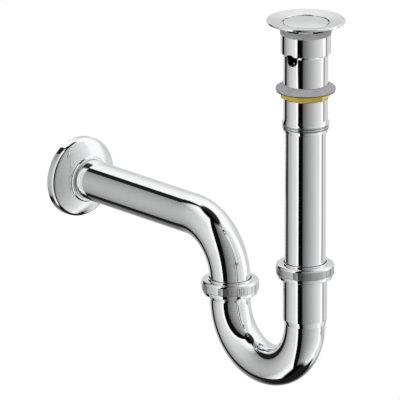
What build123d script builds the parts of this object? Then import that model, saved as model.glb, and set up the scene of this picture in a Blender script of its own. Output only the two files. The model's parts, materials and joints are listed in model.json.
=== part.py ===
import os
from math import atan2, cos, pi, sin, sqrt, tan

from build123d import *

# Basin trap, in millimetres. +Z is up along the waste, +Y points to the wall,
# and z = 0 is the face of the waste flange that sits on the basin.

# tubing
tube_od = 32.0
tube_wall = 1.2
socket_wall = 1.0
socket_play = 0.2
u_radius = 44.0
inlet_swage = 4.0
outlet_swage = 4.0
outlet_socket = 3.6
tail_inset = 19.0
tail_room = 18.2
outlet_rise = 13.3
wall_radius = 45.0
wall_run = 138.5
wall_stub = 14.0
stub_relief = 0.3
end_gap = 0.6

# waste body
barrel_d = 39.2
barrel_end = 23.9
barrel_step = 2.0
barrel_wall = 3.0
shoulder_rise = 1.2
flange_reach = 11.0
flange_rim = 1.8
flange_dish = 1.5
flange_land = 1.4
flange_round = 0.7
seat_width = 6.6
seat_round = 0.6
hub_over = 1.2
hub_depth = 4.1
neck_cut = 1.1
lower_step = 2.2
lower_wall = 2.5
lower_end = 53.5
spigot_step = 2.4
spigot_wall = 2.2
spigot_end = 77.0
spigot_round = 0.5
bore_step = 1.5
overflow_d = 10.0
overflow_z = 27.5
overflow_turn = 10.0

# cross web that carries the click cartridge
web_arms = 3
web_width = 2.4
web_h = 5.0
web_top = 45.0
web_hub_wall = 2.2
web_root = 0.6

# flange gasket
gasket_h = 5.2
gasket_top_over = 0.6
gasket_foot_over = 0.2
gasket_round = 0.3

# plug
plug_inset = 2.1
plug_gap = 1.0
recess_round = 0.6
plug_edge = 1.6
plug_dome = 0.9
plug_round = 0.4
seat_gap = 0.2
seat_depth = 2.0
seal_inset = 0.3
seal_contact = 0.9
seal_width = 4.5
stem_d = 6.0
stem_grip = 0.7
boss_wall = 2.0
boss_h = 6.4
plug_lift = 9.0

# click cartridge
click_top = 11.0
click_wall = 2.0
click_bore = 10.8
click_side = 1.6
click_tail_d = 8.2
click_round = 0.4
stem_play = 0.2
stop_gap = 0.1
cam_play = 0.2
cam_h = 3.0
rotor_h = 4.0
guide_d = 4.0
guide_h = 6.0
spring_play = 1.4
spring_wire = 0.9
spring_turns = 5

# basin clamp
washer_over = 5.85
washer_rim = 1.6
washer_rise = 3.1
washer_land = 0.8
washer_foot = 54.1
washer_round = 0.5
thrust_inset = 0.25
thrust_t = 0.8
thread_play = 0.15
nut_wall = 2.0
nut_h = 5.5
nut_turn = 30.0
nut_bevel = 0.8
nut_bevel_h = 0.48

# tail ferrule
ferrule_wall = 2.2
ferrule_gap = 0.3
flare_top = 76.5
flare_out = 0.22
flare_down = 0.55
band_top = 80.3
band_h = 4.6
band_over = 2.6
band_lip = 0.8
band_sink = 0.6
lip_edge = 0.25
band_bevel = 2.5
ferrule_lip = 1.1
ferrule_round = 0.3
tail_gasket_t = 2.0
tail_web = 2.0

# slip joints
slip_face = 194.3
slip_over = 6.7
slip_round = 2.0
slip_roof = 2.0
slip_skirt = 8.2
skirt_wall = 2.95
lip_h = 1.0
lip_wall = 0.9
lip_round = 0.3
hole_round = 0.2
skirt_round = 0.5
hole_play = 0.8
ring_t = 1.5
ring_play = 0.25
ring_edge = 0.1
seal_play = 0.05
seal_h = 0.8
seal_cone = 2.8
collar_gap = 0.3
collar_inset = 0.7
collar_round = 0.4
collar_taper = 1.0
collar_turn = 0.8
collar_h = 3.4
braze_lap = 3.8

# wall flange
plate_over = 16.0
plate_depth = 7.5
plate_ball = 90.0
plate_wall = 1.4
plate_round = 4.2
plate_collar = 1.3
plate_play = 0.15
collar_wall = 1.1
collar_root = 1.7
neck_round = 0.4
grip_over = 2.8
grip_h = 2.6
grip_shelf = 0.8

# radii and levels that follow
tube_r = tube_od / 2
bore_r = tube_r - tube_wall
socket_in = tube_r + socket_play
socket_r = socket_in + socket_wall
barrel_r = barrel_d / 2
lower_r = barrel_r - lower_step
spigot_r = lower_r - spigot_step
spigot_bore = spigot_r - spigot_wall
neck_r = barrel_r - neck_cut
upper_bore = barrel_r - barrel_wall
lower_bore = lower_r - lower_wall
gasket_foot = -hub_depth - gasket_h
plug_r = barrel_r - plug_inset
recess_r = plug_r + plug_gap
seat_top = -plug_edge - seat_gap
seat_slope = seat_depth / (recess_r - upper_bore)
web_foot = -web_top - web_h
thread_in = spigot_r + thread_play


def outline(points):
    """Closed face in the XZ plane: (r, z), (r, z, fillet) or (r, z, via r, via z) for an arc."""
    count = len(points)
    spots = [Vector(p[0], 0, p[1]) for p in points]
    arrive, leave = list(spots), list(spots)
    edges = []
    for i, point in enumerate(points):
        if len(point) != 3:
            continue
        back = (spots[i - 1] - spots[i]).normalized()
        ahead = (spots[(i + 1) % count] - spots[i]).normalized()
        half = back.get_angle(ahead) / 2 * pi / 180
        reach = point[2] / tan(half)
        sink = point[2] / sin(half) - point[2]
        arrive[i] = spots[i] + back * reach
        leave[i] = spots[i] + ahead * reach
        middle = spots[i] + (back + ahead).normalized() * sink
        edges.append(ThreePointArc(arrive[i], middle, leave[i]))
    for i, point in enumerate(points):
        start, end = leave[i - 1], arrive[i]
        if len(point) == 4:
            edges.append(ThreePointArc(start, Vector(point[2], 0, point[3]), end))
        elif (end - start).length > 1e-6:
            edges.append(Line(start, end))
    return make_face(edges)


def turned(*points):
    return revolve(outline(points), Axis.Z)


def ring(inner, outer, low, high):
    return turned((inner, low), (outer, low), (outer, high), (inner, high))


def pipe(path, radius):
    start = Plane(origin=path @ 0, z_dir=path % 0)
    return sweep(start * Circle(radius), path=path)


def keep(name, shape):
    solids = shape.solids()
    if len(solids) != 1:
        raise ValueError(f"{name} has {len(solids)} solids")
    solids[0].label = name
    export_step(solids[0], f"parts/{name}.step")


def cross_web():
    hub_r = click_tail_d / 2 + web_hub_wall
    reach = lower_bore + web_root
    web = ring(click_tail_d / 4, hub_r, web_foot, -web_top)
    arm = Pos(reach / 2, 0, web_foot + web_h / 2) * Box(reach, web_width, web_h)
    for k in range(web_arms):
        web += Rot(0, 0, 90 + 360 / web_arms * k) * arm
    return web - ring(0, click_tail_d / 2, web_foot - 1, 1 - web_top)


def waste_body():
    flange_r = barrel_r + flange_reach
    body = turned(
        (recess_r, flange_rim - flange_dish, recess_round),
        (flange_r - flange_land, flange_rim),
        (flange_r, flange_rim, flange_round),
        (flange_r, 0, seat_round),
        (flange_r - seat_width, 0),
        (barrel_r + hub_over, -hub_depth),
        (neck_r, -hub_depth),
        (neck_r, gasket_foot),
        (barrel_r, gasket_foot),
        (barrel_r, -barrel_end),
        (lower_r, -barrel_end - barrel_step),
        (lower_r, -lower_end),
        (spigot_r, -lower_end),
        (spigot_r, -spigot_end, spigot_round),
        (spigot_bore, -spigot_end),
        (spigot_bore, -lower_end + bore_step),
        (lower_bore, -lower_end + 2 * bore_step),
        (lower_bore, -barrel_end - barrel_step + shoulder_rise),
        (upper_bore, -barrel_end + shoulder_rise),
        (upper_bore, seat_top - seat_depth),
        (recess_r, seat_top),
    )
    across = Rot(0, 0, overflow_turn) * Pos(0, 0, -overflow_z) * Rot(0, 90, 0)
    return body - across * Cylinder(overflow_d / 2, barrel_d * 2) + cross_web()


def flange_gasket():
    return turned(
        (neck_r, -hub_depth),
        (barrel_r + gasket_top_over, -hub_depth),
        (barrel_r + gasket_foot_over, gasket_foot, gasket_round),
        (neck_r, gasket_foot),
    )


def plug_cap():
    stem_r = stem_d / 2
    boss_r = stem_r + boss_wall
    dome_r = plug_r - plug_round
    ball = (dome_r**2 + plug_dome**2) / (2 * plug_dome)
    middle = plug_dome - ball + sqrt(ball**2 - dome_r**2 / 4)
    corner = plug_round * (1 - sqrt(0.5))
    return turned(
        (0, -stem_grip),
        (stem_r, -stem_grip),
        (stem_r, -plug_edge - boss_h),
        (boss_r, -plug_edge - boss_h),
        (boss_r, -plug_edge),
        (plug_r, -plug_edge),
        (plug_r, -plug_round),
        (dome_r, 0, plug_r - corner, -corner),
        (0, plug_dome, dome_r / 2, middle),
    )


def plug_seal():
    seal_r = plug_r - seal_inset
    side = seat_top - (recess_r - seal_r) * seat_slope
    foot = side - seal_contact * seat_slope
    return turned(
        (seal_r - seal_width, -plug_edge),
        (seal_r, -plug_edge),
        (seal_r, side),
        (seal_r - seal_contact, foot),
        (seal_r - seal_width, foot),
    )


def click_cartridge():
    stem_r, guide_r, bore = stem_d / 2, guide_d / 2, click_bore / 2
    side = bore + click_side
    cam_r = bore - cam_play
    cap_foot = -click_top - click_wall
    cam_top = cap_foot - plug_lift - stop_gap
    cam_foot = cam_top - cam_h
    rotor_foot = cam_foot - rotor_h
    well = -web_top + click_wall
    keep("plug_stem", turned(
        (0, -stem_grip),
        (stem_r, -stem_grip),
        (stem_r, cam_top),
        (cam_r, cam_top),
        (cam_r, cam_foot),
        (guide_r, cam_foot),
        (guide_r, rotor_foot - guide_h),
        (0, rotor_foot - guide_h),
    ))
    keep("click_rotor", ring(guide_r, cam_r, rotor_foot, cam_foot))
    keep("click_cap", turned(
        (stem_r + stem_play, -click_top),
        (side, -click_top, click_round),
        (side, cap_foot),
        (stem_r + stem_play, cap_foot),
    ))
    keep("click_sleeve", turned(
        (bore, cap_foot),
        (side, cap_foot),
        (side, -web_top),
        (click_tail_d / 2, -web_top),
        (click_tail_d / 2, web_foot),
        (0, web_foot),
        (0, well),
        (bore, well),
    ))
    rise = rotor_foot - well - spring_wire
    coil = Helix(rise / spring_turns, rise, bore - spring_play)
    coil = Pos(0, 0, well + spring_wire / 2) * coil
    wire = Plane(origin=coil @ 0, z_dir=coil % 0) * RegularPolygon(spring_wire / 2, 6)
    keep("click_spring", sweep(wire, path=coil, is_frenet=True))


def basin_clamp():
    washer_r = lower_r + washer_over
    rim = -washer_foot + washer_rim
    nut_top = -washer_foot - thrust_t
    nut_foot = nut_top - nut_h
    flats = 2 * (spigot_r + nut_wall)
    corner = flats / sqrt(3)
    keep("basin_washer", turned(
        (lower_r, rim + washer_rise),
        (lower_r + washer_land, rim + washer_rise),
        (washer_r, rim, washer_round),
        (washer_r, -washer_foot, washer_round),
        (lower_r, -washer_foot),
    ))
    keep("thrust_washer", ring(thread_in, washer_r - thrust_inset, nut_top, -washer_foot))
    hexagon = Rot(0, 0, nut_turn) * RegularPolygon(flats / 2, 6, major_radius=False)
    crown = turned(
        (spigot_r, nut_top),
        (corner - nut_bevel, nut_top),
        (corner, nut_top - nut_bevel_h),
        (corner, nut_foot + nut_bevel_h),
        (corner - nut_bevel, nut_foot),
        (spigot_r, nut_foot),
    )
    keep("backnut", (Pos(0, 0, nut_foot) * extrude(hexagon, nut_h)) & crown)
    return nut_foot


def tail(nut_foot):
    ferrule_r = thread_in + ferrule_wall
    rim_r = tube_r + band_over
    band_r = rim_r - band_sink
    gasket_low = -spigot_end - tail_gasket_t
    tail_top = gasket_low - tail_web
    foot = -band_top - band_h - band_bevel
    flare_r = ferrule_r + (rim_r - ferrule_r) * flare_out
    flare_z = -flare_top - (band_top - flare_top) * flare_down
    keep("tail_ferrule", turned(
        (thread_in, nut_foot - ferrule_gap),
        (ferrule_r, nut_foot - ferrule_gap),
        (ferrule_r, -flare_top),
        (rim_r, -band_top, flare_r, flare_z),
        (rim_r, -band_top - band_lip, lip_edge),
        (band_r, -band_top - band_lip),
        (band_r, -band_top - band_h),
        (tube_r + ferrule_lip, foot, ferrule_round),
        (tube_r, foot),
        (tube_r, tail_top),
        (spigot_bore, tail_top),
        (spigot_bore, gasket_low),
        (thread_in, gasket_low),
    ))
    keep("tail_gasket", ring(spigot_bore, spigot_r, gasket_low, -spigot_end))
    return tail_top


def slip_joint(name, face, leg):
    nut_r = tube_r + slip_over
    skirt_in = nut_r - skirt_wall
    thread_r = skirt_in - thread_play
    hole = tube_r + hole_play
    roof = face - slip_roof
    ring_foot = roof - ring_t
    seal = ring_foot - seal_h
    cone = seal - seal_cone
    seal_r = socket_in + seal_cone
    skirt = face - slip_skirt
    collar = skirt - collar_gap
    foot = collar - collar_h
    lap = foot + braze_lap
    place = Pos(0, leg, 0)
    keep(f"{name}_nut", place * turned(
        (hole, face + lip_h, hole_round),
        (hole + lip_wall, face + lip_h, lip_round),
        (hole + lip_wall, face),
        (nut_r, face, slip_round),
        (nut_r, skirt, skirt_round),
        (skirt_in, skirt),
        (skirt_in, roof),
        (hole, roof),
    ))
    keep(f"{name}_ring", place * ring(tube_r + ring_play, thread_r - ring_edge, ring_foot, roof))
    keep(f"{name}_seal", place * turned(
        (tube_r + seal_play, ring_foot),
        (seal_r, ring_foot),
        (seal_r, seal),
        (socket_in, cone),
        (tube_r + seal_play, cone),
    ))
    keep(f"{name}_ferrule", place * turned(
        (seal_r, seal),
        (thread_r, seal),
        (thread_r, collar),
        (nut_r - collar_inset, collar, collar_round),
        (nut_r - collar_inset - collar_taper, foot, collar_turn),
        (socket_r, foot),
        (socket_r, lap),
        (socket_in, lap),
        (socket_in, cone),
    ))


def socket(end, low, foot, outer, inner):
    return turned((0, end), (outer, end), (outer, low), (inner, foot), (0, foot))


def u_bend(inlet_lap, outlet_lap, bend_z):
    leg = 2 * u_radius
    under = ThreePointArc((0, 0, bend_z), (0, u_radius, bend_z - u_radius), (0, leg, bend_z))
    path = Wire([under])
    sizes = ((tube_r, socket_r), (bore_r, socket_in))
    shell, core = [
        pipe(path, small)
        + socket(inlet_lap, bend_z + inlet_swage, bend_z, large, small)
        + Pos(0, leg, 0) * socket(outlet_lap, bend_z + outlet_swage, bend_z, large, small)
        for small, large in sizes
    ]
    return shell - core


def wall_tube(foot, turn_z, wall_y, to_wall):
    leg = 2 * u_radius
    axis_z = turn_z + wall_radius
    run_y = leg + wall_radius
    chord = wall_radius * (1 - sqrt(0.5))
    path = Wire([
        Line((0, leg, foot), (0, leg, turn_z)),
        ThreePointArc((0, leg, turn_z), (0, leg + chord, axis_z - chord), (0, run_y, axis_z)),
        Line((0, run_y, axis_z), (0, wall_y + wall_stub, axis_z)),
    ])
    trim = ring(tube_r - stub_relief, tube_od, -wall_stub - 1, 0)
    return pipe(path, tube_r) - to_wall * trim - pipe(path, bore_r)


def wall_flange(to_wall):
    rim_r = tube_r + plate_over
    hole = tube_r + plate_play
    neck_r = hole + collar_root
    grip_r = tube_r + grip_over
    ball_z = plate_depth - sqrt(plate_ball**2 - rim_r**2)

    def dome(r, ball=plate_ball):
        return ball_z + sqrt(ball**2 - r**2)

    # the rim's round touches the rim and the dome
    core_r = rim_r - plate_round
    core_z = dome(core_r, plate_ball - plate_round)
    lean = atan2(core_z - ball_z, core_r)
    edge_r, edge_z = plate_ball * cos(lean), ball_z + plate_ball * sin(lean)
    via_r, via_z = core_r + plate_round * cos(lean / 2), core_z + plate_round * sin(lean / 2)
    middle = (neck_r + edge_r) / 2
    crown = dome(neck_r)
    inside = crown - plate_wall
    keep("wall_flange", to_wall * turned(
        (hole, crown + plate_collar),
        (hole + collar_wall, crown + plate_collar, neck_round),
        (neck_r, crown),
        (edge_r, edge_z, middle, dome(middle)),
        (rim_r, core_z, via_r, via_z),
        (rim_r, 0),
        (rim_r - plate_wall, 0),
        (rim_r - plate_wall, plate_depth - plate_wall, plate_round - plate_wall),
        (grip_r, inside - grip_shelf),
        (grip_r, inside),
        (hole, inside),
    ))
    keep("flange_grip", to_wall * ring(tube_r + seal_play, grip_r, inside - grip_h, inside))


os.makedirs("parts", exist_ok=True)

keep("waste_body", waste_body())
keep("flange_gasket", flange_gasket())
keep("plug_cap", plug_cap())
keep("plug_seal", plug_seal())
click_cartridge()
tail_top = tail(basin_clamp())

slip_drop = slip_skirt + collar_gap + collar_h - braze_lap
inlet_lap = -slip_face - slip_drop
tail_end = inlet_lap - tail_inset
bend_z = tail_end - tail_room - inlet_swage
outlet_lap = bend_z + outlet_swage + outlet_socket
slip_joint("inlet", -slip_face, 0)
slip_joint("outlet", outlet_lap + slip_drop, 2 * u_radius)
keep("tailpipe", ring(bore_r, tube_r, tail_end, tail_top))
keep("u_bend", u_bend(inlet_lap, outlet_lap, bend_z))

turn_z = bend_z + outlet_rise
wall_y = 2 * u_radius + wall_radius + wall_run
to_wall = Pos(0, wall_y, turn_z + wall_radius) * Rot(90, 0, 0)
keep("wall_tube", wall_tube(bend_z + outlet_swage + end_gap, turn_z, wall_y, to_wall))
wall_flange(to_wall)
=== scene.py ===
import json
import math

import bmesh
import bpy
from mathutils import Matrix, Vector


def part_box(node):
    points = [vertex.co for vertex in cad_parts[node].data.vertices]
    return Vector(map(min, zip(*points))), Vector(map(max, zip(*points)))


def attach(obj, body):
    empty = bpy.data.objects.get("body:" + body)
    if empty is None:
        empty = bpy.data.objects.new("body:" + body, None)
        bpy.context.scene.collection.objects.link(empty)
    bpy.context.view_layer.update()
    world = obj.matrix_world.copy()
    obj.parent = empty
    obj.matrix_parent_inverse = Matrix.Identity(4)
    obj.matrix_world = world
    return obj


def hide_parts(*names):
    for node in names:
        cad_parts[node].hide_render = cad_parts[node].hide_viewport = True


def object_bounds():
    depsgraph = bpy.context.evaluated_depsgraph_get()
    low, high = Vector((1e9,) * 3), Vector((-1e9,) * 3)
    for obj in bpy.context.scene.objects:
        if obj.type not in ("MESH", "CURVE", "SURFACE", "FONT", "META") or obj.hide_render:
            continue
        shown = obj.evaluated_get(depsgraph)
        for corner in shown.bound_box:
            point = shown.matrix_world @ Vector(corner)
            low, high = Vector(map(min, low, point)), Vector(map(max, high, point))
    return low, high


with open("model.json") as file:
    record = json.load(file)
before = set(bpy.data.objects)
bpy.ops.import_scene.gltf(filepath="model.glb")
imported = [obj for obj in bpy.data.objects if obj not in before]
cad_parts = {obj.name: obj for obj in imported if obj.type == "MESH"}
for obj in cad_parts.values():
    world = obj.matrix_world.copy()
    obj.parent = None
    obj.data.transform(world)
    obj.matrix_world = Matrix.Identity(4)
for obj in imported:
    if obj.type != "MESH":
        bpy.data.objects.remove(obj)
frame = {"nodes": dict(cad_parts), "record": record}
cadLow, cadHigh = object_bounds()
scene = bpy.context.scene
mm = 0.001
print("frame loaded:", len(frame["nodes"]), "nodes")


# Helpers for node trees
def addNode(tree, kind, **values):
    node = tree.nodes.new(kind)
    for name, value in values.items():
        setattr(node, name, value)
    return node


def wire(tree, source, target):
    tree.links.new(source, target)


def feed(tree, value, socket):
    if hasattr(value, "links"):  # another node's output
        wire(tree, value, socket)
    else:
        socket.default_value = value


def maths(tree, operation, *values):
    node = addNode(tree, "ShaderNodeMath", operation=operation)
    for value, socket in zip(values, node.inputs):
        feed(tree, value, socket)
    return node.outputs[0]


def spread(tree, value, fromMin, fromMax, toMin=0.0, toMax=1.0):
    node = addNode(tree, "ShaderNodeMapRange")
    for number, socket in zip((value, fromMin, fromMax, toMin, toMax), node.inputs):
        feed(tree, number, socket)
    return node.outputs[0]


def splitVector(tree, vector):
    node = addNode(tree, "ShaderNodeSeparateXYZ")
    wire(tree, vector, node.inputs[0])
    return node.outputs


def joinVector(tree, *values):
    node = addNode(tree, "ShaderNodeCombineXYZ")
    for value, socket in zip(values, node.inputs):
        feed(tree, value, socket)
    return node.outputs[0]


def mixShade(tree, factor, first, second):
    node = addNode(tree, "ShaderNodeMix", data_type="RGBA")
    for label, value in (("Factor", factor), ("A", first), ("B", second)):
        feed(tree, value, node.inputs[label])
    return node.outputs["Result"]


def mixShader(tree, factor, first, second):
    node = addNode(tree, "ShaderNodeMixShader")
    for source, socket in zip((factor, first, second), node.inputs):
        wire(tree, source, socket)
    return node.outputs[0]


def grey(shade):
    return (shade, shade, shade, 1.0)


# Camera: the long lens of a catalogue picture
cameraView = {
    "azimuth": -41.16,
    "elevation": 16.97,
    "distance": 8.099,
    "lens": 945.5,
    "sensor": 36.0,
    "clipEnd": 100,
    "lookAt": (0, 0, 9.1 * mm),
    "slideRight": -81.64 * mm,
    "slideUp": -146.14 * mm,
}


def placeCamera(view):
    azimuth, elevation = math.radians(view["azimuth"]), math.radians(view["elevation"])
    right = Vector((math.cos(azimuth), math.sin(azimuth), 0))
    level = Vector((math.sin(azimuth), -math.cos(azimuth), 0))
    back = level * math.cos(elevation) + Vector((0, 0, math.sin(elevation)))
    up = back.cross(right)
    aim = Vector(view["lookAt"]) + right * view["slideRight"] + up * view["slideUp"]
    data = bpy.data.cameras.new("catalogueCamera")
    data.lens = view["lens"]
    data.sensor_width = view["sensor"]
    data.clip_end = view["clipEnd"]
    camera = bpy.data.objects.new("catalogueCamera", data)
    turn = Matrix((right, up, back)).transposed().to_4x4()
    camera.matrix_world = Matrix.Translation(aim + back * view["distance"]) @ turn
    scene.collection.objects.link(camera)
    scene.camera = camera


placeCamera(cameraView)
scene.view_settings.view_transform = "Standard"
print("camera placed")

# Studio: what the chrome mirrors. Bearings are in degrees from +X, heights are sines
studio = {
    # from one bearing to the next, with the shade at each end
    "cards": {
        "backSweep": (0, 90.8, 0.66, 0.66),
        "leftFlag": (91.6, 112.6, 0.012, 0.012),
        "leftCard": (113.6, 137.0, 0.27, 0.485),
        "leftGlow": (143.0, 178.0, 0.56, 0.78),
        "leftEdge": (180.6, 188.7, 1.0, 1.0),
        "blackFlag": (189.5, 213.6, 0.003, 0.003),
        "frontCard": (214.6, 314.0, 0.112, 0.80),
        "frontEdge": (316.5, 340.0, 1.0, 1.0),
        "rightSweep": (352.0, 360.0, 0.70, 0.66),
    },
    # how much of a panel stands at each bearing and each height
    "leftEnds": {
        "bearings": [(113, 0.0), (118, 1.0), (186, 1.0), (189, 0.0)],
        "heights": [(-0.90, 1.0), (-0.70, 0.0), (0.62, 0.0), (0.88, 1.0)],
        "shade": 1.0,
    },
    "rightSlit": {
        "bearings": [(331.0, 0.0), (332.2, 1.0), (343.2, 1.0), (344.4, 0.0)],
        "heights": [(-0.46, 0.0), (-0.40, 1.0), (-0.20, 1.0), (-0.14, 0.0)],
        "shade": 0.32,
    },
    "rightFoot": {
        "bearings": [(0, 1.0), (6, 1.0), (14, 0.0), (338, 0.0), (346, 1.0), (360, 1.0)],
        "heights": [(-0.80, 0.0), (-0.70, 1.0), (-0.50, 1.0), (-0.42, 0.0)],
        "shade": 0.75,
    },
    # the cards end in a dark floor and a dark ceiling
    "cardHeights": [(-0.955, 0.0), (-0.915, 1.0), (0.92, 1.0), (0.955, 0.0)],
    # the sweep behind the object by height, and where it takes over from the cards along X and Y
    "backSky": [(-0.80, 0.01), (-0.70, 0.13), (-0.57, 0.30), (-0.42, 0.46), (-0.29, 0.65), (0.10, 0.60),
                (0.29, 0.63), (0.50, 0.80), (0.66, 0.95), (0.92, 1.0), (0.955, 0.02)],
    "backFade": ((-0.05, 0.0), (-0.3, -0.2)),
    "mirrorLevel": 1.06,
    "matteLevel": 0.85,
}


def shadeRamp(tree, value, stops):
    ramp = addNode(tree, "ShaderNodeValToRGB")
    elements = ramp.color_ramp.elements
    elements[0].position, elements[1].position = stops[0][0], stops[-1][0]
    for stop in stops[1:-1]:
        elements.new(stop[0])
    for element, (place, shade) in zip(elements, stops):
        element.position, element.color = place, grey(shade)
    wire(tree, value, ramp.inputs[0])
    return ramp.outputs[0]


def buildWorld(look):
    world = bpy.data.worlds.new("studio")
    scene.world = world
    world.use_nodes = True
    tree = world.node_tree
    tree.nodes.clear()
    x, y, z = splitVector(tree, addNode(tree, "ShaderNodeTexCoord").outputs["Generated"])
    turns = maths(tree, "MULTIPLY", maths(tree, "ARCTAN2", y, x), 1 / math.tau)
    bearing = maths(tree, "FRACT", turns)
    height = spread(tree, z, -1.0, 1.0)

    def byBearing(stops):
        return shadeRamp(tree, bearing, [(turn / 360, shade) for turn, shade in stops])

    def byHeight(stops):
        return shadeRamp(tree, height, [((sine + 1) / 2, shade) for sine, shade in stops])

    def addPanel(under, panel):
        share = maths(tree, "MULTIPLY", byBearing(panel["bearings"]), byHeight(panel["heights"]))
        return mixShade(tree, share, under, grey(panel["shade"]))

    edges = []
    for start, end, first, last in look["cards"].values():
        edges += [(start, first), (end, last)]
    shaded = addPanel(byBearing(edges), look["leftEnds"])
    shaded = mixShade(tree, byHeight(look["cardHeights"]), grey(0.0), shaded)
    fades = [spread(tree, way, *limits) for way, limits in zip((x, y), look["backFade"])]
    behind = maths(tree, "MULTIPLY", *fades)
    shaded = mixShade(tree, behind, shaded, byHeight(look["backSky"]))
    shaded = addPanel(shaded, look["rightSlit"])
    shaded = addPanel(shaded, look["rightFoot"])

    # mirrors see the studio; the picture's ground and matte surfaces see plain white
    rays = addNode(tree, "ShaderNodeLightPath").outputs
    mirrored = addNode(tree, "ShaderNodeBackground")
    wire(tree, shaded, mirrored.inputs[0])
    mirrored.inputs[1].default_value = look["mirrorLevel"]
    plain = addNode(tree, "ShaderNodeBackground")
    plain.inputs[0].default_value = grey(1.0)
    wire(tree, spread(tree, rays["Is Camera Ray"], 0.0, 1.0, look["matteLevel"], 1.0), plain.inputs[1])
    sharp = maths(tree, "MAXIMUM", rays["Is Glossy Ray"], rays["Is Transmission Ray"])
    chosen = mixShader(tree, sharp, plain.outputs[0], mirrored.outputs[0])
    wire(tree, chosen, addNode(tree, "ShaderNodeOutputWorld").inputs[0])


buildWorld(studio)

# Pale floor, far below: white to the camera, out of the way of mirrors and of views from underneath
paleFloor = {"drop": 0.5, "half": 12.0, "shade": 0.8}


def buildFloor(sizes):
    level = cadLow.z - sizes["drop"]
    half = sizes["half"]
    mesh = bpy.data.meshes.new("paleFloor")
    corners = [(-half, -half, level), (half, -half, level), (half, half, level), (-half, half, level)]
    mesh.from_pydata(corners, [], [(0, 1, 2, 3)])
    floor = bpy.data.objects.new("paleFloor", mesh)
    scene.collection.objects.link(floor)
    material = bpy.data.materials.new("paleFloor")
    material.use_nodes = True
    tree = material.node_tree
    tree.nodes.clear()
    rays = addNode(tree, "ShaderNodeLightPath").outputs
    matte = addNode(tree, "ShaderNodeBsdfDiffuse")
    matte.inputs[0].default_value = grey(sizes["shade"])
    white = addNode(tree, "ShaderNodeEmission")
    clear = addNode(tree, "ShaderNodeBsdfTransparent")
    under = addNode(tree, "ShaderNodeNewGeometry").outputs["Backfacing"]
    lit = mixShader(tree, rays["Is Camera Ray"], matte.outputs[0], white.outputs[0])
    hidden = maths(tree, "MAXIMUM", rays["Is Glossy Ray"], under)
    surface = mixShader(tree, hidden, lit, clear.outputs[0])
    wire(tree, surface, addNode(tree, "ShaderNodeOutputMaterial").inputs[0])
    mesh.materials.append(material)


buildFloor(paleFloor)

softBoxes = {
    "keyBox": {"place": (-1.6, -1.4, 1.8), "aim": (0, 0.1, -0.12), "size": 1.4, "power": 26},
    "fillBox": {"place": (1.8, -0.6, 0.9), "aim": (0, 0.1, -0.12), "size": 1.2, "power": 9},
}
for name, box in softBoxes.items():
    lamp = bpy.data.lights.new(name, "AREA")
    lamp.size = box["size"]
    lamp.energy = box["power"]
    holder = bpy.data.objects.new(name, lamp)
    holder.location = box["place"]
    holder.rotation_euler = (Vector(box["aim"]) - holder.location).to_track_quat("-Z", "Y").to_euler()
    holder.visible_glossy = False
    scene.collection.objects.link(holder)
print("studio built")


# Shared shader effects: each gives a blend for colour and roughness, and a height for the bump
def newEffect(name, scales):
    group = bpy.data.node_groups.new(name, "ShaderNodeTree")
    group.interface.new_socket("Vector", in_out="INPUT", socket_type="NodeSocketVector")
    for label in scales:
        group.interface.new_socket(label, in_out="INPUT", socket_type="NodeSocketFloat")
    for label in ("Blend", "Height"):
        group.interface.new_socket(label, in_out="OUTPUT", socket_type="NodeSocketFloat")
    return group, addNode(group, "NodeGroupInput").outputs


def closeEffect(group, blend, height):
    end = addNode(group, "NodeGroupOutput")
    wire(group, blend, end.inputs["Blend"])
    wire(group, height, end.inputs["Height"])
    return group


def noise(tree, vector, scale, detail=2.0, rough=0.5):
    node = addNode(tree, "ShaderNodeTexNoise")
    for label, value in (("Vector", vector), ("Scale", scale), ("Detail", detail), ("Roughness", rough)):
        feed(tree, value, node.inputs[label])
    return node.outputs[0]


# polish: soft patches, rubbed along Z
polishLook = {"patchDetail": 3.0, "patch": (0.35, 0.75, 0.2, 1.0),
              "rub": (0.3, 0.7, 0.4, 1.0), "stretch": 0.06}


def makePolish(look):
    group, given = newEffect("polishHaze", ("Patch", "Rub"))
    patch = noise(group, given["Vector"], given["Patch"], look["patchDetail"])
    squeeze = addNode(group, "ShaderNodeMapping")
    wire(group, given["Vector"], squeeze.inputs["Vector"])
    squeeze.inputs["Scale"].default_value = (1.0, 1.0, look["stretch"])
    rub = noise(group, squeeze.outputs[0], given["Rub"])
    haze = maths(group, "MULTIPLY", spread(group, patch, *look["patch"]), spread(group, rub, *look["rub"]))
    return closeEffect(group, haze, patch)


# mould: fine grain under a wide bloom
mouldLook = {"bloomDetail": 4.0, "bloomRough": 0.6, "bloomShare": 0.75,
             "grainShare": 0.25, "range": (0.3, 0.7)}


def makeMould(look):
    group, given = newEffect("mouldGrain", ("Grain", "Bloom"))
    grain = noise(group, given["Vector"], given["Grain"])
    bloom = noise(group, given["Vector"], given["Bloom"], look["bloomDetail"], look["bloomRough"])
    mixed = maths(group, "ADD", maths(group, "MULTIPLY", bloom, look["bloomShare"]),
                  maths(group, "MULTIPLY", grain, look["grainShare"]))
    return closeEffect(group, spread(group, mixed, *look["range"]), grain)


# lathe: rings left by the tool
latheLook = {"detail": 3.0, "rough": 0.6, "range": (0.3, 0.7)}


def makeLathe(look):
    group, given = newEffect("turnLines", ("Feed",))
    x, y, z = splitVector(group, given["Vector"])
    square = maths(group, "ADD", maths(group, "MULTIPLY", x, x), maths(group, "MULTIPLY", y, y))
    rings = joinVector(group, maths(group, "SQRT", square), 0.0, z)
    lines = noise(group, rings, given["Feed"], look["detail"], look["rough"])
    return closeEffect(group, spread(group, lines, *look["range"]), lines)


polish, mould, lathe = makePolish(polishLook), makeMould(mouldLook), makeLathe(latheLook)

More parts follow.
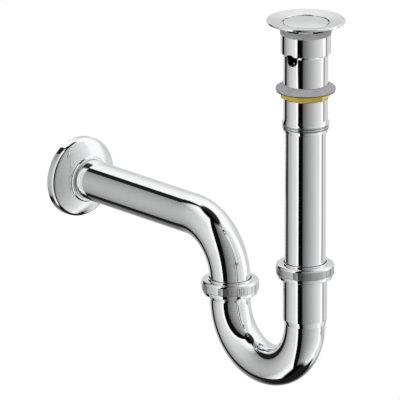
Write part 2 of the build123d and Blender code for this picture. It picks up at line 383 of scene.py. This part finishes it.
# Finishes: an effect and its scales, the two colours and roughnesses it blends, and the strength of its bump
finishes = {
    "chrome": {"effect": polish, "scales": (70.0, 1100.0), "metal": 1.0,
               "low": (0.90, 0.905, 0.915), "high": (0.955, 0.957, 0.96),
               "rough": (0.015, 0.055), "bump": 0.012},
    "plateFace": {"effect": polish, "scales": (70.0, 1100.0), "metal": 1.0,
                  "low": (0.90, 0.905, 0.915), "high": (0.955, 0.957, 0.96),
                  "rough": (0.17, 0.24), "bump": 0.008},
    "grey_rubber": {"effect": mould, "scales": (2600.0, 120.0), "metal": 0.0,
                    "low": (0.285, 0.285, 0.292), "high": (0.365, 0.365, 0.373),
                    "rough": (0.50, 0.72), "bump": 0.10},
    "black_rubber": {"effect": mould, "scales": (2200.0, 150.0), "metal": 0.0,
                     "low": (0.017, 0.017, 0.018), "high": (0.042, 0.042, 0.044),
                     "rough": (0.45, 0.7), "bump": 0.12},
    "brass": {"effect": lathe, "scales": (2400.0,), "metal": 1.0,
              "low": (0.94, 0.66, 0.11), "high": (1.0, 0.80, 0.20),
              "rough": (0.13, 0.27), "bump": 0.05},
    # painted shade: brass darkened to olive for the thrust washer's shadow under the rubber washer
    "shadedBrass": {"effect": lathe, "scales": (1800.0,), "metal": 1.0,
                  "low": (0.20, 0.185, 0.075), "high": (0.32, 0.29, 0.12),
                  "rough": (0.30, 0.45), "bump": 0.05},
    "nylon": {"effect": mould, "scales": (1800.0, 110.0), "metal": 0.0,
              "low": (0.70, 0.685, 0.62), "high": (0.82, 0.81, 0.76),
              "rough": (0.32, 0.5), "bump": 0.05},
    "spring_steel": {"effect": polish, "scales": (300.0, 3000.0), "metal": 1.0,
                     "low": (0.42, 0.42, 0.43), "high": (0.60, 0.60, 0.61),
                     "rough": (0.18, 0.34), "bump": 0.05},
    # painted shade: the three knurled bands are chrome painted darker, each to a different brightness, for
    # the shade in their knurling
    "inletKnurl": {"effect": polish, "scales": (240.0, 1800.0), "metal": 1.0,
                   "low": (0.52, 0.525, 0.535), "high": (0.63, 0.63, 0.63),
                   "rough": (0.05, 0.12), "bump": 0.03},
    "outletKnurl": {"effect": polish, "scales": (240.0, 1800.0), "metal": 1.0,
                    "low": (0.74, 0.745, 0.755), "high": (0.85, 0.85, 0.85),
                    "rough": (0.05, 0.12), "bump": 0.03},
    "tailKnurl": {"effect": polish, "scales": (240.0, 1800.0), "metal": 1.0,
                  "low": (0.36, 0.365, 0.375), "high": (0.47, 0.47, 0.47),
                  "rough": (0.05, 0.12), "bump": 0.03},
}
bumpDepth = 0.1 * mm
ownFinish = {"thrust_washer": "shadedBrass"}  # painted shade: dark olive for the shadow under the rubber washer


def makeFinish(name, look):
    material = bpy.data.materials.new(name)
    material.use_nodes = True
    tree = material.node_tree
    shader = tree.nodes["Principled BSDF"]
    shader.inputs["Metallic"].default_value = look["metal"]
    effect = addNode(tree, "ShaderNodeGroup", node_tree=look["effect"])
    wire(tree, addNode(tree, "ShaderNodeTexCoord").outputs["Object"], effect.inputs["Vector"])
    for socket, scale in zip(effect.inputs[1:], look["scales"]):
        socket.default_value = scale
    blend = effect.outputs["Blend"]
    wire(tree, mixShade(tree, blend, (*look["low"], 1.0), (*look["high"], 1.0)), shader.inputs["Base Color"])
    wire(tree, spread(tree, blend, 0.0, 1.0, *look["rough"]), shader.inputs["Roughness"])
    bump = addNode(tree, "ShaderNodeBump")
    bump.inputs["Strength"].default_value = look["bump"]
    bump.inputs["Distance"].default_value = bumpDepth
    wire(tree, effect.outputs["Height"], bump.inputs["Height"])
    wire(tree, bump.outputs[0], shader.inputs["Normal"])
    return material


finish = {name: makeFinish(name, look) for name, look in finishes.items()}
for piece in frame["record"]["subparts"]:
    skin = frame["nodes"][piece["node"]].data.materials
    skin.clear()
    skin.append(finish[ownFinish.get(piece["node"], piece["material_slot"])])
print("finishes set:", len(finish))

# Wall flange: a turned skin in place of its solid, with a fuller dome and a rolled collar
wallPlate = {
    "ball": 57 * mm, "side": 4.55 * mm, "round": 4.2 * mm, "wall": 1.4 * mm, "play": 0.15 * mm,
    "collarWall": 1.8 * mm, "root": 1.4 * mm, "lip": 0.7 * mm, "shelf": 0.8 * mm,
    "turns": 160, "domeSteps": 24, "innerSteps": 16, "sharpAngle": 30,
}


def arc(centre, radius, start, end, steps=10):
    turns = [start + (end - start) * step / steps for step in range(steps + 1)]
    return [(centre[0] + radius * math.cos(turn), centre[1] + radius * math.sin(turn)) for turn in turns]


# (radius, height over the wall): over the dome from the rim to the hole, and back inside past the grip ring
def plateProfile(rim, hole, grip, seat, sizes):
    ball, bend, wall, root, lip = (sizes[name] for name in ("ball", "round", "wall", "root", "lip"))
    neck = hole + sizes["collarWall"]
    core = (rim - bend, sizes["side"])
    middle = core[1] - math.sqrt((ball - bend) ** 2 - core[0] ** 2)
    lean = math.atan2(core[1] - middle, core[0])
    fillet = (neck + root, middle + math.sqrt((ball + root) ** 2 - (neck + root) ** 2))
    steep = math.atan2(fillet[1] - middle, fillet[0])
    inner, boss, shelf = ball - wall, grip + wall, seat - sizes["shelf"]
    outside = [(rim, 0)] + arc(core, bend, 0, lean)
    outside += arc((0, middle), ball, lean, steep, sizes["domeSteps"])[1:]
    outside += arc(fillet, root, steep + math.pi, math.pi)[1:]
    outside += arc((neck - lip, fillet[1]), lip, 0, math.pi / 2) + [(hole, fillet[1] + lip)]
    inside = [(hole, seat), (grip, seat), (grip, shelf), (boss, shelf)]
    inside += arc((0, middle), inner, math.acos(boss / inner), lean, sizes["innerSteps"])
    inside += arc(core, bend - wall, lean, 0)[1:] + [(rim - wall, 0)]
    return outside + inside


def turnPlate(sizes):
    low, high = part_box("wall_flange")
    tubeLow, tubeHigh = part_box("tailpipe")
    gripLow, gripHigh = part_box("flange_grip")
    rim, hole = (high.x - low.x) / 2, (tubeHigh.x - tubeLow.x) / 2 + sizes["play"]
    profile = plateProfile(rim, hole, (gripHigh.x - gripLow.x) / 2, high.y - gripLow.y, sizes)
    axis, count, turns = (low.z + high.z) / 2, len(profile), sizes["turns"]
    spots, faces = [], []
    for turn in range(turns):
        angle = math.tau * turn / turns
        spots += [(r * math.cos(angle), high.y - rise, axis + r * math.sin(angle)) for r, rise in profile]
        here, following = turn * count, (turn + 1) % turns * count
        for point in range(count):
            ahead = (point + 1) % count
            faces.append((here + point, here + ahead, following + ahead, following + point))
    mesh = bpy.data.meshes.new("wall_plate")
    mesh.from_pydata(spots, [], faces)
    shell = bmesh.new()
    shell.from_mesh(mesh)
    bmesh.ops.recalc_face_normals(shell, faces=shell.faces)
    shell.to_mesh(mesh)
    shell.free()
    mesh.shade_smooth()
    mesh.set_sharp_from_angle(angle=math.radians(sizes["sharpAngle"]))
    # the domed face is hazier than the polished rim and collar
    mesh.materials.append(finish["chrome"])
    mesh.materials.append(finish["plateFace"])
    faceStart, faceEnd = hole + sizes["collarWall"] + sizes["root"], rim - sizes["round"]
    for face in mesh.polygons:
        reach = math.hypot(face.center.x, face.center.z - axis)
        face.material_index = int(faceStart < reach < faceEnd)
    plate = bpy.data.objects.new("wall_plate", mesh)
    scene.collection.objects.link(plate)
    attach(plate, "wall_flange")
    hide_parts("wall_flange")
    print("wall plate turned:", len(mesh.polygons), "faces")


turnPlate(wallPlate)


# Knurling and threads, made by geometry nodes
def newTree(name, sizes):
    tree = bpy.data.node_groups.new(name, "GeometryNodeTree")
    tree.interface.new_socket("Geometry", in_out="OUTPUT", socket_type="NodeSocketGeometry")
    for label, kind in {**sizes, "Place": "Vector", "Finish": "Material"}.items():
        tree.interface.new_socket(label, in_out="INPUT", socket_type="NodeSocket" + kind)
    return tree, addNode(tree, "NodeGroupInput").outputs


def closeTree(tree, geometry, given):
    move = addNode(tree, "GeometryNodeTransform")
    wire(tree, geometry, move.inputs["Geometry"])
    wire(tree, given["Place"], move.inputs["Translation"])
    real = addNode(tree, "GeometryNodeRealizeInstances")
    wire(tree, move.outputs[0], real.inputs[0])
    paint = addNode(tree, "GeometryNodeSetMaterial")
    wire(tree, real.outputs[0], paint.inputs["Geometry"])
    wire(tree, given["Finish"], paint.inputs["Material"])
    wire(tree, paint.outputs[0], addNode(tree, "NodeGroupOutput").inputs[0])
    return tree


# a ring of four-sided ridges, flattened towards the axis
def makeKnurl(sides=4):
    tree, given = newTree("knurl", {"Radius": "Float", "Ridges": "Int", "Height": "Float", "Length": "Float"})
    hoop = addNode(tree, "GeometryNodeMeshCircle")
    wire(tree, given["Ridges"], hoop.inputs["Vertices"])
    wire(tree, given["Radius"], hoop.inputs["Radius"])
    half = maths(tree, "DIVIDE", maths(tree, "MULTIPLY", given["Radius"], math.pi), given["Ridges"])
    ridge = addNode(tree, "GeometryNodeMeshCylinder")
    ridge.inputs["Vertices"].default_value = sides
    wire(tree, half, ridge.inputs["Radius"])
    wire(tree, given["Length"], ridge.inputs["Depth"])
    x, y = splitVector(tree, addNode(tree, "GeometryNodeInputPosition").outputs[0])[:2]
    copies = addNode(tree, "GeometryNodeInstanceOnPoints")
    wire(tree, hoop.outputs[0], copies.inputs["Points"])
    wire(tree, ridge.outputs[0], copies.inputs["Instance"])
    wire(tree, joinVector(tree, 0.0, 0.0, maths(tree, "ARCTAN2", y, x)), copies.inputs["Rotation"])
    flat = maths(tree, "DIVIDE", given["Height"], half)
    wire(tree, joinVector(tree, flat, 1.0, 1.0), copies.inputs["Scale"])
    return closeTree(tree, copies.outputs[0], given)


def makeThread(segments=96, sides=6):
    tree, given = newTree("thread", {"Radius": "Float", "Turns": "Float", "Rise": "Float", "Depth": "Float"})
    helix = addNode(tree, "GeometryNodeCurveSpiral")
    helix.inputs["Resolution"].default_value = segments
    wire(tree, given["Turns"], helix.inputs["Rotations"])
    wire(tree, given["Radius"], helix.inputs["Start Radius"])
    wire(tree, given["Radius"], helix.inputs["End Radius"])
    wire(tree, given["Rise"], helix.inputs["Height"])
    crest = addNode(tree, "GeometryNodeCurvePrimitiveCircle")
    crest.inputs["Resolution"].default_value = sides
    wire(tree, given["Depth"], crest.inputs["Radius"])
    sweep = addNode(tree, "GeometryNodeCurveToMesh")
    wire(tree, helix.outputs[0], sweep.inputs["Curve"])
    wire(tree, crest.outputs[0], sweep.inputs["Profile Curve"])
    sweep.inputs["Fill Caps"].default_value = True
    return closeTree(tree, sweep.outputs[0], given)


def grow(name, tree, values, body):
    piece = bpy.data.objects.new(name, bpy.data.meshes.new(name))
    scene.collection.objects.link(piece)
    modifier = piece.modifiers.new("grow", "NODES")
    modifier.node_group = tree
    for item in tree.interface.items_tree:
        if item.in_out == "INPUT":
            modifier[item.identifier] = values[item.name]
    graph = bpy.context.evaluated_depsgraph_get()
    made = bpy.data.meshes.new_from_object(piece.evaluated_get(graph))
    piece.modifiers.clear()
    piece.data = made
    made.name = name
    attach(piece, body)
    print(name, "made:", len(made.polygons), "faces")


knurl, thread = makeKnurl(), makeThread()


# a band from foot to top, round the axis of a node's box
def growKnurl(name, node, foot, top, sizes, skin, body):
    low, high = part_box(node)
    radius = (high.x - low.x) / 2
    grow(name, knurl, {
        "Radius": radius - sizes["sink"], "Ridges": round(math.tau * radius / sizes["pitch"]),
        "Height": sizes["height"], "Length": top - foot,
        "Place": Vector(((low.x + high.x) / 2, (low.y + high.y) / 2, (foot + top) / 2)),
        "Finish": finish[skin]}, body)


# the nut's thin lip stands over its face, and the band stays clear of its rounded edges
nutKnurl = {"pitch": 1.0 * mm, "height": 0.05 * mm, "sink": 0.01 * mm,
            "lip": 1.0 * mm, "below": 2.1 * mm, "above": 0.35 * mm}
# painted shade: the nuts' knurl bands take chrome painted darker
for side in ("inlet", "outlet"):
    nut = side + "_nut"
    low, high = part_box(nut)
    top = high.z - nutKnurl["lip"] - nutKnurl["below"]
    growKnurl(nut + "_knurl", nut, low.z + nutKnurl["above"], top, nutKnurl, side + "Knurl", nut)

# two rows with a plain gap between them
tailKnurl = {"pitch": 1.0 * mm, "height": 0.05 * mm, "sink": 0.61 * mm,
             "foot": -84.75 * mm, "length": 1.55 * mm, "gap": 0.4 * mm, "rows": 2}
# painted shade: the tail rows take chrome painted darker
for row in range(tailKnurl["rows"]):
    foot = tailKnurl["foot"] + row * (tailKnurl["length"] + tailKnurl["gap"])
    growKnurl(f"tail_knurl_{row + 1}", "tail_ferrule", foot, foot + tailKnurl["length"], tailKnurl,
              "tailKnurl", "waste")

# a short thread on each of the U-bend's ferrules, starting this far below the top
ferruleThread = {"radius": 19.6 * mm, "pitch": 1.5 * mm, "depth": 0.09 * mm,
                 "run": 3.0 * mm, "below": 3.2 * mm}
for side in ("inlet", "outlet"):
    low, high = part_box(side + "_ferrule")
    start = Vector(((low.x + high.x) / 2, (low.y + high.y) / 2, high.z - ferruleThread["below"]))
    grow(side + "_thread", thread, {
        "Radius": ferruleThread["radius"], "Turns": ferruleThread["run"] / ferruleThread["pitch"],
        "Rise": ferruleThread["run"], "Depth": ferruleThread["depth"],
        "Place": start, "Finish": finish["chrome"]}, "trap")
